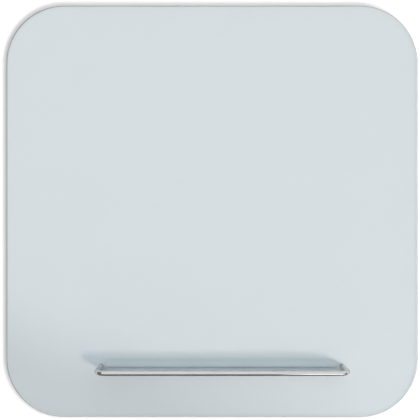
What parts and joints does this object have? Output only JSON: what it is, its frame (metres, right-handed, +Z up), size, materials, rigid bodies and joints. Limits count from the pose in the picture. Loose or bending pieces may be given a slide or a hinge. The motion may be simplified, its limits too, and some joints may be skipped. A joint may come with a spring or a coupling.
{
  "type": "glass whiteboard",
  "caption": "Square wall-hung glass whiteboard with round corners, hidden hook rails, levelling screws and a chromed pen tray that magnets hold to the glass.",
  "frame": {"origin": "On the wall plane, in the middle of the upper wall rail's back face", "axes": "+Z up; +X to the right of someone who faces the board; +Y into the wall, so the writing surface faces -Y"},
  "size_m": [1, 0.1265, 1],
  "materials": {
    "glass": "clear toughened glass with polished edges",
    "white_film": "white safety film",
    "steel_sheet": "galvanised",
    "aluminium_rail": "natural anodised",
    "foam_tape": "closed-cell foam",
    "rubber": "matt black",
    "zinc_screw": "bright zinc plated",
    "levelling_screw": "black oxide",
    "nylon_plug": "grey nylon",
    "chrome_tube": "polished chrome",
    "satin_shelf": "satin, lightly polished",
    "magnet": "nickel plated",
    "magnet_carrier": "moulded black"
  },
  "bodies": {
    "wall_mount": {"upper_wall_rail": "aluminium_rail", "lower_wall_rail": "aluminium_rail", "wall_screw_upper_1": "zinc_screw", "wall_screw_upper_2": "zinc_screw", "wall_screw_upper_3": "zinc_screw", "wall_screw_upper_4": "zinc_screw", "wall_screw_lower_1": "zinc_screw", "wall_screw_lower_2": "zinc_screw", "wall_screw_lower_3": "zinc_screw", "wall_screw_lower_4": "zinc_screw", "wall_plug_upper_1": "nylon_plug", "wall_plug_upper_2": "nylon_plug", "wall_plug_upper_3": "nylon_plug", "wall_plug_upper_4": "nylon_plug", "wall_plug_lower_1": "nylon_plug", "wall_plug_lower_2": "nylon_plug", "wall_plug_lower_3": "nylon_plug", "wall_plug_lower_4": "nylon_plug"},
    "board": {"glass_panel": "glass", "white_film": "white_film", "steel_sheet": "steel_sheet", "upper_board_rail": "aluminium_rail", "lower_board_rail": "aluminium_rail", "upper_rail_tape": "foam_tape", "lower_rail_tape": "foam_tape", "bumper_upper_left": "rubber", "bumper_upper_right": "rubber", "bumper_lower_left": "rubber", "bumper_lower_right": "rubber"},
    "levelling_screw_left": {"levelling_screw_left": "levelling_screw"},
    "levelling_screw_right": {"levelling_screw_right": "levelling_screw"},
    "pen_tray": {"tray_tube": "chrome_tube", "tray_shelf": "satin_shelf", "magnet_carrier": "magnet_carrier", "magnet_1": "magnet", "magnet_2": "magnet", "magnet_3": "magnet", "magnet_4": "magnet", "magnet_5": "magnet", "magnet_6": "magnet", "magnet_7": "magnet", "magnet_8": "magnet", "magnet_facing": "rubber", "tray_end_plug_left": "rubber", "tray_end_plug_right": "rubber"}
  },
  "joints": [
    {"name": "board_lift", "type": "slide", "parent": "wall_mount", "child": "board", "axis": [0, 0, 1], "range_m": [0, 0.01]},
    {"name": "tray_slide", "type": "slide", "parent": "board", "child": "pen_tray", "axis": [1, 0, 0], "range_m": [-0.2, 0.15]},
    {"name": "levelling_screw_left_turn", "type": "hinge", "parent": "board", "child": "levelling_screw_left", "pos_m": [-0.25, -0.0068, 0.033], "axis": [0, 0, 1], "continuous": true},
    {"name": "levelling_screw_right_turn", "type": "hinge", "parent": "board", "child": "levelling_screw_right", "pos_m": [0.25, -0.0068, 0.033], "axis": [0, 0, 1], "continuous": true}
  ]
}
